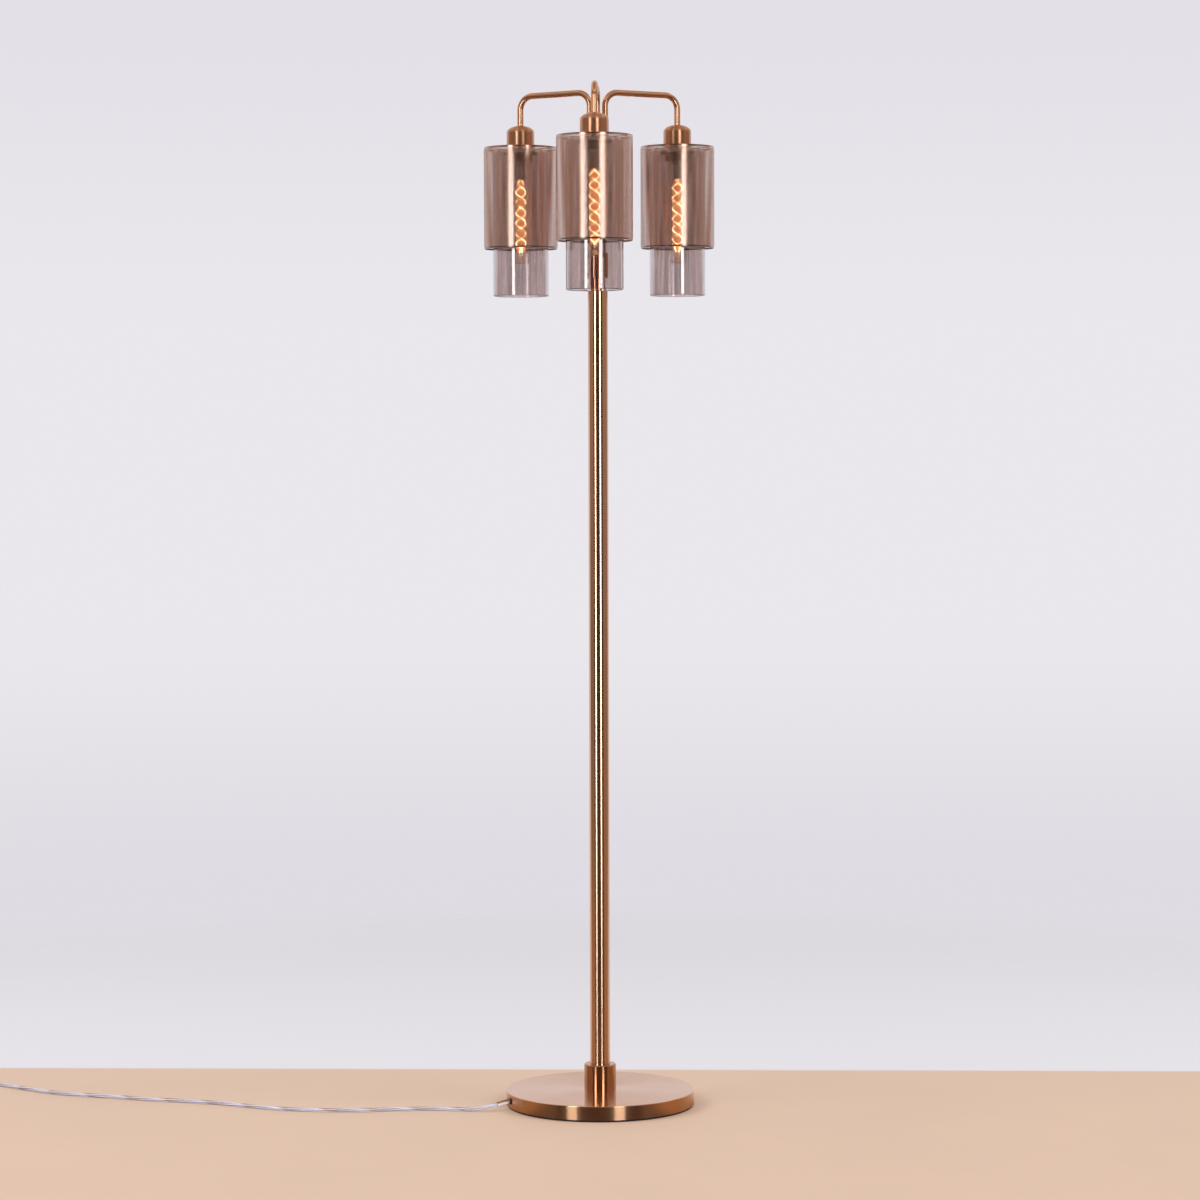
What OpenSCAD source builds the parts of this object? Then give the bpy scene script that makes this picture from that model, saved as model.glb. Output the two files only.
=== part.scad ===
// Floor lamp: a weighted disc base, a two-piece pole and three bent tube arms.
// Each arm carries a cap, a lampholder, a smoked glass shade inside a mesh shade, and a tube bulb.
// Millimetres, +Z up. The origin is on the floor at the pole's axis, and the front arm points to -Y.

/* [Base] */
// Diameter of the base disc
base_d = 300; // [260:5:340]
// Height of the base disc above its pad
base_h = 22; // [20:1:28]
// Sheet of the base shell
base_wall = 1.5; // [1:0.1:2]
// Rounding of the shell's top edge
base_edge_r = 1.2; // [0.6:0.1:1.6]
// Thickness of the rubber pad
pad_t = 3; // [2:0.5:5]
// How far the pad stays inside the shell
pad_inset = 2; // [1:0.5:6]
// Diameter of the collar
collar_d = 51; // [48:1:58]
// Height of the collar
collar_h = 41; // [32:1:50]
// Thickness of the collar's floor, which carries the pole
collar_floor = 8; // [6:1:10]
// Bevel round the collar's top
collar_bevel = 1.5; // [0.5:0.5:3]
// Diameter of the hole for the cord at the middle of the base
cord_hole_d = 24; // [22:1:24]

/* [Pole] */
// Outer diameter of the pole
pole_d = 32; // [28:0.5:32.5]
// Wall of the pole
pole_wall = 1.5; // [1.2:0.1:2]
// Length of the lower pole
lower_pole_len = 655; // [500:5:760]
// Length of the upper pole
upper_pole_len = 629; // [500:1:760]
// Small bevel at the ends that meet
pole_bevel = 0.5; // [0.3:0.1:0.8]
// Length of the coupler inside the joint
coupler_len = 70; // [50:5:100]
// Wall of the coupler
coupler_wall = 2.4; // [2:0.2:4]
// Length of the threaded plug in the pole's top
plug_len = 15; // [12:1:24]

/* [Hub] */
// Diameter of the hub
hub_d = 45; // [44:1:56]
// Height of the hub
hub_h = 40; // [36:1:54]
// Wall of the hub cup
hub_wall = 1.5; // [1.2:0.1:2]
// Floor of the hub cup
hub_floor = 3; // [2:0.5:5]
// Thickness of the hub's top disc
hub_top_t = 6; // [4:0.5:8]
// Depth of the rim that centres the top disc
hub_rim_h = 4; // [3:0.5:5]
// Thickness of the terminal block
terminal_t = 7; // [5:0.5:8]

/* [Arms] */
// Outer diameter of an arm tube, and of its thread
arm_d = 10; // [9:0.5:10.5]
// Wall of an arm tube
arm_wall = 1; // [0.8:0.1:1.3]
// Distance from the pole's axis to a shade's axis
arm_reach = 145; // [125:5:190]
// Height of the level run's centre above the hub
arm_rise = 254; // [250:1:330]
// Bend radius of the tube's centre line
arm_bend_r = 22; // [18:1:26]
// Height of the level run's centre above a cap
arm_drop = 46; // [36:1:60]

/* [Lamp head] */
// Diameter of a cap
cap_d = 44.5; // [43:0.5:50]
// Height of a cap
cap_h = 38; // [34:1:44]
// Height of the cap's domed top
cap_dome_h = 11.5; // [8:0.5:13]
// Wall of a cap
cap_wall = 1.2; // [1:0.1:1.5]
// Depth of the flat seat under the cap's top
cap_seat = 2; // [1.6:0.1:2.4]
// Diameter of a lampholder
holder_d = 39.5; // [38:0.5:40]
// Length of a lampholder
holder_len = 53; // [50:1:56]
// Diameter of the bore for the bulb's screw cap
holder_bore_d = 27.2; // [27:0.1:28]
// Height of a lampholder's core
core_h = 15; // [10:1:17]
// Thickness of the ring that holds the shades
ring_t = 5; // [4:0.5:7]
// Diameter of the ring that holds the shades
ring_d = 54; // [50:1:60]

/* [Shades] */
// Diameter of a mesh shade
mesh_d = 118; // [112:1:130]
// Height of a mesh shade
mesh_h = 162; // [140:1:190]
// Sheet of a mesh shade
mesh_t = 0.8; // [0.6:0.1:1.2]
// Height that a mesh shade stands above its carrier
mesh_up = 4; // [4:0.5:8]
// Height of the solid band at each end of a mesh shade
mesh_band = 2.5; // [2:0.5:4]
// Radius of the turned-in lower edge
mesh_turn_r = 2.5; // [2:0.5:4]
// Diameter of a glass shade
glass_d = 89; // [84:1:96]
// Height of a glass shade
glass_h = 233.5; // [200:0.5:260]
// Wall of a glass shade
glass_t = 3; // [2:0.2:4]
// Radius of the glass shade's shoulder
glass_shoulder_r = 8; // [6:0.5:12]
// Sheet of the carrier under a cap
carrier_t = 1; // [0.8:0.1:1.6]
// Width of a carrier's spokes
spoke_w = 5; // [3:0.5:8]

/* [Bulb] */
// Diameter of a bulb
bulb_d = 30; // [28:1:32]
// Length of a bulb
bulb_len = 185; // [170:1:200]
// Glass of a bulb
bulb_t = 0.8; // [0.6:0.1:1]
// Height of a bulb's rounded end
bulb_end_h = 9; // [7:0.5:13]
// Diameter of a bulb's screw cap
bulb_cap_d = 26.6; // [26:0.1:26.7]
// Height of a bulb's screw cap
bulb_cap_h = 26; // [24:0.5:28]
// Diameter of the glowing spiral
spiral_d = 17; // [14:0.5:19]
// Diameter of a glowing strand
strand_d = 1.2; // [1.1:0.1:1.4]
// Turns of a strand
spiral_turns = 3.5; // [2.5:0.5:5]

/* [Cord] */
// Diameter of the cord
cord_d = 6; // [5.6:0.1:6.2]
// Direction in which the cord leaves the base, from +X
cord_angle = 200; // [194:1:206]
// Turns of the coil
coil_loops = 4.5; // [2.5:1:4.5]
// Radius of the coil's tightest turn
coil_inner_r = 25; // [24:0.5:27]
// Step from one turn to the next
coil_pitch = 6.6; // [6.6:0.1:6.8]
// Step from one layer to the next
coil_layer = 6.5; // [6.5:0.1:6.8]

/* [Foot switch and plug] */
// Length of the foot switch
switch_len = 72; // [70:1:74]
// Width of the foot switch
switch_w = 38; // [36:1:40]
// Height of the foot switch
switch_h = 22; // [22:0.5:26]
// Wall of the foot switch
switch_wall = 2; // [1.6:0.1:2.4]
// Diameter of the button
button_d = 22; // [18:1:24]
// How far the button stands proud
button_proud = 4; // [3.5:0.5:6]
// How far the button travels
button_travel = 3; // [2:0.5:3]
// Length of the plug's body
plug_body_len = 36; // [32:1:40]
// Width of the plug's body
plug_body_w = 35; // [32:1:37]
// Thickness of the plug's body
plug_body_t = 14; // [13:0.5:16]
// Length of a plug pin
pin_len = 19; // [18:0.5:20]
// Distance between the pins
pin_gap = 19; // [18:0.5:20]

/* [Hidden] */
SIDES = ["front", "left", "right"];
ARM_ANGLES = [-90, 150, 30];
BY_ARM = ["arm", "cap", "lampholder", "glass_shade", "mesh_shade", "bulb_glass", "bulb_cap", "filament"];

$fn = 64;
fit = 0.1;   // gap round a thread or a pressed piece
slip = 0.3;  // gap round what slides or turns
over = 1;    // how far a cut runs past its face

// Heights, from the floor up
base_top = pad_t + base_h;
cord_z = pad_t + base_h / 2;
pole_z = base_top + collar_floor;
joint_z = pole_z + lower_pole_len;
pole_top = joint_z + upper_pole_len;
hub_top_z = pole_top + hub_h;
arm_z = hub_top_z + arm_rise;
cap_top = arm_z - arm_drop;
carrier_z = cap_top - cap_h - carrier_t;
glass_top = carrier_z;
mesh_top = carrier_z + mesh_up;

// Threads, nuts and screws
thread_r = arm_d / 2;
nut_af = thread_r * 2 + 3;
nut_t = 3;
nut_corner = nut_af / 2 / cos(30);
hub_in_r = hub_d / 2 - hub_wall;
arm_circle_r = sqrt(pow(hub_in_r - slip, 2) - pow(nut_corner / 2, 2)) - nut_af / 2;
arm_end_z = hub_top_z - hub_top_t - hub_rim_h - nut_t - 5;
nipple_in = 13;
nipple_top = pole_top + nipple_in;
screw_d = 5;
screw_head_d = 9;
screw_head_h = 3.3;
screw_sink = 6;
screw_bite = 11;
screw_circle_r = (pole_d + collar_d) / 4;
small_d = 3;
small_head_d = 5.4;
small_head_h = 2.4;
small_len = 12;

// Base inside
weight_gap = 0.5;
weight_r = base_d / 2 - base_wall - weight_gap;
lead_bend_r = 24;
channel_w = cord_d + 2;
clamp_at = 60;
clamp_len = 32;
clamp_w = 9;
clamp_t = 2;
clamp_screw_at = 11;
grommet_hole_r = cord_d / 2 + 0.8;
grommet_flange_r = grommet_hole_r + 1.1;
grommet_flange_t = 1.8;
exit_r = base_d / 2 + grommet_flange_t;

// Lamp head inside
holder_top = cap_top - cap_seat - nut_t;
holder_z = holder_top - holder_len;
holder_end_z = holder_top - 7.5;
core_top = holder_end_z - 8;
bulb_top = core_top - core_h - slip;
bulb_tip = bulb_top - bulb_len;
bulb_neck_r = bulb_cap_d / 2 - 1;
bulb_neck_z = bulb_top - bulb_cap_h;
stem_z = bulb_neck_z - 24;
stem_foot_z = bulb_tip + 18;
stem_r = 4;
rod_r = 1;

// Foot switch and plug, outside the picture
switch_at = [-1117, 172];
switch_cord_z = 8;
sleeve_len = 18;
sleeve_inside = switch_wall + 2.6;
sleeve_flange_t = 1.4;
sleeve_r = cord_d / 2 + 1.2;
sleeve_tip_r = cord_d / 2 + 0.6;
cord_sleeve_r = cord_d / 2 + 0.7;
cord_sleeve_tip_r = cord_d / 2 + 0.35;
switch_screw_at = 24;
switch_core_size = [26, 16, 14];
stem_len = 8;
flange_t = 1.7;
plug_sleeve_len = 20;
plug_taper = 16;
pin_d = 4;
pin_root = 8;

// Places on the cord's path
sleeve_run = [[0, 0], [5.5, -0.2], [12.5, -1.4], [20.5, -3.6]]; // out from the grommet, and down
function exit_at(p) =
    [(exit_r + p[0]) * cos(cord_angle), (exit_r + p[0]) * sin(cord_angle), cord_z + p[1]];
sleeve_points = [for (p = sleeve_run) exit_at(p)];
sleeve_end_way = sleeve_points[3] - sleeve_points[2];
floor_z = cord_d / 2 + 0.2;
route = concat([sleeve_points[3]], [
    [-181, -64, 6.4], [-199, -65, 4], [-225, -61, floor_z], [-270, -58, floor_z],
    [-318, -62, floor_z], [-370, -71, floor_z], [-411, -73, floor_z], [-450, -71, floor_z],
    [-502, -63, floor_z], [-558, -41, floor_z], [-615, -16, floor_z], [-670, 0, floor_z],
    [-726, 12, floor_z], [-783, 31, floor_z], [-840, 47, floor_z], [-897, 69, floor_z],
    [-946, 101, floor_z], [-993, 134, floor_z], [-1017, 152, 3.6], [-1035, 163, 5],
    [-1049, 170, 7], [-1057, 172, 8], [-1063, 172, 8]
]);
inlet_x = switch_at[0] + switch_len / 2 + sleeve_len;
outlet_x = switch_at[0] - switch_len / 2 - sleeve_len;

// A vector of length one
function unit(v) = v / norm(v);
// A point on a smooth curve between b and c, whose neighbours are a and d
function blend_at(a, b, c, d, u) =
    0.5 * (2 * b + (c - a) * u + (2 * a - 5 * b + 4 * c - d) * u * u
        + (3 * b - a - 3 * c + d) * u * u * u);
// A smooth curve through the points of p, with n steps from each to the next
function smooth_curve(p, n) = let (last = len(p) - 1) [
    for (i = [0:last - 1], j = [0:n - 1])
        blend_at(p[max(i - 1, 0)], p[i], p[i + 1], p[min(i + 2, last)], j / n),
    p[last]
];
// From 0 to 1 without a corner
function ease(u) = let (v = max(0, min(1, u))) v * v * (3 - 2 * v);
// Length along a list of points
function run_length(p, i = 0) = i >= len(p) - 1 ? 0 : norm(p[i + 1] - p[i]) + run_length(p, i + 1);

// A tube along points p: one ring of radius r[i] at each, square to the path.
// from and to are the directions of its two ends, where they are set by what it meets.
module sweep_tube(p, r, ups, sides, from = undef, to = undef) {
    last = len(p) - 1;
    function along(i) =
        i == 0 && is_list(from) ? from
        : i == last && is_list(to) ? to
        : p[min(i + 1, last)] - p[max(i - 1, 0)];
    rings = [for (i = [0:last])
        let (
            t = unit(along(i)),
            across = unit(cross(t, ups[i])),
            up = cross(across, t)
        )
        for (k = [0:sides - 1])
            let (a = 360 * (k + 0.5) / sides) p[i] + r[i] * (cos(a) * across + sin(a) * up)
    ];
    walls = [for (i = [0:last - 1], k = [0:sides - 1])
        let (a = i * sides + k, b = i * sides + (k + 1) % sides)
        for (f = [[a, b, b + sides], [a, b + sides, a + sides]]) f
    ];
    start = [for (k = [1:sides - 2]) [0, k + 1, k]];
    end = [for (k = [1:sides - 2]) [last * sides, last * sides + k, last * sides + k + 1]];
    polyhedron(points = rings, faces = concat(walls, start, end), convexity = 10);
}

// A tube along a path that lies on the floor
module floor_tube(p, r, sides, from, to) {
    sweep_tube(p, [for (q = p) r], [for (q = p) [0, 0, 1]], sides, from, to);
}

// The coil starts at its outer edge, spirals in, climbs one layer and spirals out
function coil_r(t) =
    coil_inner_r + coil_pitch * (sqrt(pow(t - coil_loops / 2, 2) + 0.01) - 0.1);
coil_low_z = cord_d / 2 + 1;
coil_lead = 20;
coil_at = [outlet_x - cord_d - coil_lead, switch_at[1] - coil_r(0)];
function coil_z(t) = coil_low_z + coil_layer * ease((t - coil_loops / 2) / 0.5 + 0.5);
function coil_point(t) = [
    coil_at[0] + coil_r(t) * cos(90 + 360 * t),
    coil_at[1] + coil_r(t) * sin(90 + 360 * t),
    coil_z(t)
];
plug_y = coil_at[1] - coil_r(coil_loops);
plug_z = plug_body_t / 2;
plug_x = coil_at[0] + coil_lead + cord_d + plug_sleeve_len;
coil_path = concat(
    [[outlet_x, switch_at[1], switch_cord_z]],
    [for (u = [0:0.25:0.75])
        [outlet_x - cord_d - coil_lead * u, switch_at[1],
            switch_cord_z + (coil_low_z - switch_cord_z) * ease(u)]],
    [for (i = [0:24 * coil_loops]) coil_point(i / 24)],
    [for (u = [0.25:0.25:1])
        [coil_at[0] + coil_lead * u, plug_y,
            coil_low_z + coil_layer + (plug_z - coil_low_z - coil_layer) * ease(u)]],
    [[coil_at[0] + coil_lead + cord_d, plug_y, plug_z]]
);
// The least distance between two points of the coil that lie more than half a turn apart
coil_gap = min([for (i = [0:len(coil_path) - 14], j = [i + 13:len(coil_path) - 1])
    norm(coil_path[i] - coil_path[j])]) - cord_d;
cord_path = smooth_curve(route, 3);
echo(coil_least_gap = coil_gap);
echo(cord_length = run_length(cord_path), coil_length = run_length(coil_path));

// Points of an arc in a profile, about centre c, from angle a to angle b
function arc(c, r, a, b, n = 8) =
    [for (i = [0:n]) c + r * [cos(a + (b - a) * i / n), sin(a + (b - a) * i / n)]];

// What stands at an arm's shade axis
module at_shade(i) rotate(ARM_ANGLES[i]) translate([arm_reach, 0, 0]) children();
// What lies along the cord's way through the base
module along_cord() rotate(cord_angle) children();
// A round bar along +X from x0 to x1, at height z
module bar_x(r, x0, x1, z) translate([x0, 0, z]) rotate([0, 90, 0]) cylinder(r = r, h = x1 - x0);
// A quarter bend in the XZ plane about [x, z], starting at angle a
module bend(x, z, bend_r, r, a)
    translate([x, 0, z]) rotate([90, 0, 0]) rotate(a)
        rotate_extrude(angle = 90) translate([bend_r, 0]) circle(r = r);
// A nut with its bore and with a flat on each side along X
module nut(t) rotate(30) difference() {
    cylinder(r = nut_corner, h = t, $fn = 6);
    translate([0, 0, -over]) cylinder(r = thread_r + fit, h = t + 2 * over);
}
// A pan-head screw, head down, with the seat of its head at z = 0
module pan_screw(d, head_d, head_h, length) {
    translate([0, 0, -head_h]) difference() {
        cylinder(d = head_d, h = head_h);
        translate([0, 0, -over]) cylinder(d = d * 0.8, h = head_h * 0.5 + over, $fn = 6);
    }
    cylinder(d = d, h = length);
}
// The way of an arm tube or of the lead in it, from z0 in the hub to z1 in the cap
module arm_way(r, z0, z1) {
    low = arm_z - arm_bend_r;
    translate([arm_circle_r, 0, z0]) cylinder(r = r, h = low - z0);
    bend(arm_circle_r + arm_bend_r, low, arm_bend_r, r, 90);
    bar_x(r, arm_circle_r + arm_bend_r, arm_reach - arm_bend_r, arm_z);
    bend(arm_reach - arm_bend_r, low, arm_bend_r, r, 0);
    translate([arm_reach, 0, z1]) cylinder(r = r, h = low - z1);
}
// A block with half-round ends and a rounded top edge
module oval_block(length, w, z0, z1, edge) {
    side = concat([[0, z0], [w / 2, z0]], arc([w / 2 - edge, z1 - edge], edge, 0, 90, 6), [[0, z1]]);
    for (s = [-1, 1])
        translate([s * (length - w) / 2, 0, 0]) rotate(-s * 90)
            rotate_extrude(angle = 180) polygon(side);
    for (s = [-1, 1])
        translate([-(length - w) / 2, 0, 0]) rotate([90, 0, 90])
            linear_extrude(length - w) polygon([for (p = side) [s * p[0], p[1]]]);
}

module base_pad() color([0.08, 0.08, 0.08])
    cylinder(d = base_d - 2 * pad_inset, h = pad_t, $fn = 128);

module base_disc() color([0.72, 0.62, 0.52]) difference() {
    rotate_extrude($fn = 128) polygon(concat(
        [[cord_hole_d / 2, base_top]],
        arc([base_d / 2 - base_edge_r, base_top - base_edge_r], base_edge_r, 90, 0, 6),
        [[base_d / 2, pad_t], [base_d / 2 - base_wall, pad_t],
            [base_d / 2 - base_wall, base_top - base_wall], [cord_hole_d / 2, base_top - base_wall]]
    ));
    along_cord() bar_x(grommet_hole_r, base_d / 2 - 4 * base_wall, base_d / 2 + over, cord_z);
    base_screw_places() cylinder(d = screw_d + 2 * slip, h = base_top + over);
}

module base_screw_places()
    for (a = [60, 180, 300]) rotate(cord_angle + a) translate([screw_circle_r, 0, 0]) children();

module base_weight() color([0.3, 0.3, 0.32]) difference() {
    translate([0, 0, pad_t]) cylinder(r = weight_r, h = base_h - base_wall, $fn = 128);
    cylinder(d = cord_hole_d, h = base_top + over);
    base_screw_places() {
        cylinder(d = screw_d + 2 * slip, h = base_top + over);
        cylinder(d = screw_head_d + 2 * slip, h = pad_t + screw_sink);
    }
    along_cord() {
        translate([0, -channel_w / 2, 0])
            cube([weight_r + over, channel_w, cord_z + channel_w / 2]);
        translate([0, -channel_w / 2, 0]) cube([lead_bend_r - 4, channel_w, base_top + over]);
        translate([clamp_at - clamp_w / 2 - slip, -clamp_len / 2 - slip, 0])
            cube([clamp_w + 2 * slip, clamp_len + 2 * slip, cord_z - cord_d / 2]);
        bar_x(grommet_flange_r + slip, weight_r - 5, weight_r + over, cord_z);
        for (s = [-1, 1]) translate([clamp_at, s * clamp_screw_at, 0])
            cylinder(d = small_d + 2 * fit, h = cord_z - cord_d / 2 - clamp_t + small_len + over);
    }
}

module base_screws() color("silver") base_screw_places()
    translate([0, 0, pad_t + screw_sink])
        pan_screw(screw_d, screw_head_d, screw_head_h, base_h - screw_sink + screw_bite);

module base_collar() color([0.72, 0.48, 0.3]) difference() {
    translate([0, 0, base_top]) rotate_extrude($fn = 96) polygon([
        [cord_hole_d / 2, 0], [collar_d / 2, 0], [collar_d / 2, collar_h - collar_bevel],
        [collar_d / 2 - collar_bevel, collar_h], [pole_d / 2 + fit, collar_h],
        [pole_d / 2 + fit, collar_floor], [cord_hole_d / 2, collar_floor]
    ]);
    base_screw_places() cylinder(d = screw_d + 2 * fit, h = base_top + screw_bite + over);
    rotate(90) bar_x(screw_d / 2 + fit, 0, collar_d, base_top + collar_h * 0.6);
}

module collar_screw() color("silver") rotate(90) difference() {
    bar_x(screw_d / 2, pole_d / 2, collar_d / 2 - 1, base_top + collar_h * 0.6);
    translate([collar_d / 2 - 4, 0, base_top + collar_h * 0.6]) rotate([0, 90, 0])
        cylinder(d = screw_d * 0.6, h = 4, $fn = 6);
}

module cord_grommet() color([0.06, 0.06, 0.06]) along_cord() difference() {
    union() {
        bar_x(grommet_flange_r, base_d / 2, exit_r, cord_z);
        bar_x(grommet_hole_r - fit, base_d / 2 - base_wall - 2, exit_r - fit, cord_z);
        bar_x(grommet_flange_r - 0.3, base_d / 2 - base_wall - 2, base_d / 2 - base_wall - slip, cord_z);
    }
    bar_x(cord_d / 2 + fit, base_d / 2 - 10, exit_r + over, cord_z);
}

module cord_sleeve() color([0.85, 0.85, 0.88]) {
    p = smooth_curve(sleeve_points, 3);
    taper = (cord_sleeve_tip_r - cord_sleeve_r) / (len(p) - 1);
    sweep_tube(p, [for (i = [0:len(p) - 1]) cord_sleeve_r + taper * i],
        [for (q = p) [0, 0, 1]], 12, [cos(cord_angle), sin(cord_angle), 0], sleeve_end_way);
}

module cord_clamp() color([0.1, 0.1, 0.1]) along_cord() difference() {
    translate([clamp_at - clamp_w / 2, -clamp_len / 2, cord_z - cord_d / 2 - clamp_t])
        cube([clamp_w, clamp_len, clamp_t]);
    for (s = [-1, 1]) translate([clamp_at, s * clamp_screw_at, 0])
        cylinder(d = small_d + 2 * slip, h = cord_z);
}

module clamp_screws() color("silver") along_cord() for (s = [-1, 1])
    translate([clamp_at, s * clamp_screw_at, cord_z - cord_d / 2 - clamp_t])
        pan_screw(small_d, small_head_d, small_head_h, small_len);

module mains_lead() color([0.85, 0.85, 0.88]) along_cord() {
    bar_x(cord_d / 2, lead_bend_r, exit_r, cord_z);
    bend(lead_bend_r, cord_z + lead_bend_r, lead_bend_r, cord_d / 2, 180);
    translate([0, 0, cord_z + lead_bend_r])
        cylinder(d = cord_d, h = nipple_top - cord_z - lead_bend_r);
}

// A length of pole with a small bevel at the end that meets the other length
module pole_length(z, length, bevel_low, bevel_high) translate([0, 0, z])
    rotate_extrude($fn = 96) polygon([
        [pole_d / 2 - pole_wall, 0], [pole_d / 2 - bevel_low, 0], [pole_d / 2, bevel_low],
        [pole_d / 2, length - bevel_high], [pole_d / 2 - bevel_high, length],
        [pole_d / 2 - pole_wall, length]
    ]);

module lower_pole() color([0.72, 0.48, 0.3]) pole_length(pole_z, lower_pole_len, pole_bevel, pole_bevel);
module upper_pole() color([0.72, 0.48, 0.3]) pole_length(joint_z, upper_pole_len, pole_bevel, pole_bevel);

module pole_coupler() color("silver") translate([0, 0, joint_z - coupler_len / 2]) difference() {
    cylinder(r = pole_d / 2 - pole_wall - fit, h = coupler_len);
    translate([0, 0, -over])
        cylinder(r = pole_d / 2 - pole_wall - fit - coupler_wall, h = coupler_len + 2 * over);
}

module pole_plug() color("silver") translate([0, 0, pole_top - plug_len]) difference() {
    cylinder(r = pole_d / 2 - pole_wall - fit, h = plug_len);
    translate([0, 0, -over]) cylinder(r = thread_r + fit, h = plug_len + 2 * over);
}

module hub_nipple() color("silver") translate([0, 0, pole_top - plug_len + 2]) difference() {
    cylinder(r = thread_r, h = plug_len - 2 + nipple_in);
    translate([0, 0, -over]) cylinder(r = cord_d / 2 + slip, h = plug_len + nipple_in + 2 * over);
}

module hub_body() color([0.72, 0.48, 0.3]) translate([0, 0, pole_top]) rotate_extrude($fn = 96) polygon([
    [thread_r + fit, 0], [hub_d / 2 - 0.6, 0], [hub_d / 2, 0.6], [hub_d / 2, hub_h - hub_top_t],
    [hub_in_r, hub_h - hub_top_t], [hub_in_r, hub_floor], [thread_r + fit, hub_floor]
]);

// The holes for the three arm ends
module arm_holes() for (a = ARM_ANGLES) rotate(a)
    translate([arm_circle_r, 0, arm_end_z - over]) cylinder(r = thread_r + fit, h = hub_h);

module hub_top() color([0.72, 0.48, 0.3]) difference() {
    translate([0, 0, hub_top_z]) rotate_extrude($fn = 96) polygon([
        [0, -hub_top_t - hub_rim_h], [hub_in_r - fit, -hub_top_t - hub_rim_h],
        [hub_in_r - fit, -hub_top_t], [hub_d / 2, -hub_top_t], [hub_d / 2, -0.6],
        [hub_d / 2 - 0.6, 0], [0, 0]
    ]);
    arm_holes();
}

module terminal_block() color("white") translate([0, 0, nipple_top])
    cylinder(r = hub_in_r - 4, h = terminal_t);

// One nut on the nipple, and one on each arm's end
module hub_nuts() color("silver") {
    translate([0, 0, pole_top + hub_floor]) nut(nut_t);
    for (a = ARM_ANGLES) rotate(a)
        translate([arm_circle_r, 0, hub_top_z - hub_top_t - hub_rim_h - nut_t]) nut(nut_t);
}

module arm_leads() color([0.2, 0.2, 0.2]) for (a = ARM_ANGLES) rotate(a)
    arm_way(arm_d / 2 - arm_wall - 1.5, nipple_top + terminal_t, core_top);

module arm(i) color([0.72, 0.48, 0.3]) rotate(ARM_ANGLES[i]) difference() {
    arm_way(arm_d / 2, arm_end_z, holder_end_z);
    arm_way(arm_d / 2 - arm_wall, arm_end_z - over, holder_end_z - over);
}

// A cap: a plain tube with an elliptical dome, and a flat seat for its nut inside
module cap(i) color([0.72, 0.48, 0.3]) at_shade(i) {
    r = cap_d / 2;
    r_in = r - cap_wall;
    hole = thread_r + fit;
    seat_r = nut_corner + 1;
    seat_edge = cap_wall + cap_dome_h * (1 - cos(asin(seat_r / r_in)));
    top = [for (a = [asin(hole / r):6:90]) [r * sin(a), cap_top - cap_dome_h * (1 - cos(a))]];
    under = [for (a = [90:-6:30])
        [r_in * sin(a), cap_top - max(cap_seat, cap_wall + cap_dome_h * (1 - cos(a)))]];
    seat = [[seat_r, cap_top - cap_seat]];
    step = seat_edge > cap_seat ? concat([[seat_r, cap_top - seat_edge]], seat) : seat;
    rotate_extrude() polygon(concat(
        top, [[r, cap_top - cap_dome_h], [r, cap_top - cap_h], [r_in, cap_top - cap_h]],
        under, step, [[hole, cap_top - cap_seat]]
    ));
}

module cap_nuts() color("silver") for (i = [0:2]) at_shade(i)
    translate([0, 0, holder_top]) nut(nut_t);

module lampholder(i) color([0.05, 0.05, 0.05]) at_shade(i) {
    r = holder_d / 2;
    bore = holder_bore_d / 2;
    rotate_extrude() polygon([
        [bore + 2, holder_z], [r - 0.5, holder_z], [r, holder_z + 0.5], [r, holder_top - 9],
        [r - 4.5, holder_top - 2.5], [r - 8, holder_top], [thread_r + fit, holder_top],
        [thread_r + fit, holder_end_z], [4, holder_end_z], [4, core_top],
        [bore, core_top], [bore, holder_z + 4], [bore + 2, holder_z + 2]
    ]);
}

module holder_cores() color("white") for (i = [0:2]) at_shade(i)
    translate([0, 0, core_top - core_h]) cylinder(r = holder_bore_d / 2 - fit, h = core_h);

module shade_rings() color([0.05, 0.05, 0.05]) for (i = [0:2]) at_shade(i)
    translate([0, 0, glass_top - glass_t - ring_t]) difference() {
        cylinder(d = ring_d, h = ring_t);
        translate([0, 0, -over]) cylinder(d = holder_d + 2 * fit, h = ring_t + 2 * over);
    }

// A ring clamped under the cap, with three spokes that reach the mesh shade
module shade_carriers() color([0.6, 0.42, 0.28]) for (i = [0:2]) at_shade(i)
    translate([0, 0, carrier_z]) difference() {
        union() {
            cylinder(r = cap_d / 2 + 3, h = carrier_t);
            for (a = [60, 180, 300]) rotate(a) translate([0, -spoke_w / 2, 0])
                cube([mesh_d / 2 - mesh_t - fit, spoke_w, carrier_t]);
        }
        translate([0, 0, -over]) cylinder(d = holder_d + 2 * fit, h = carrier_t + 2 * over);
    }

module glass_shade(i) color([0.45, 0.38, 0.38, 0.5]) at_shade(i) {
    r = glass_d / 2;
    s = glass_shoulder_r;
    low = glass_top - glass_h;
    rotate_extrude($fn = 96) polygon(concat(
        [[holder_d / 2 + fit, glass_top]],
        arc([r - s, glass_top - s], s, 90, 0),
        arc([r - glass_t / 2, low + glass_t / 2], glass_t / 2, 0, -180, 6),
        arc([r - s, glass_top - s], s - glass_t, 0, 90),
        [[holder_d / 2 + fit, glass_top - glass_t]]
    ));
}

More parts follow.
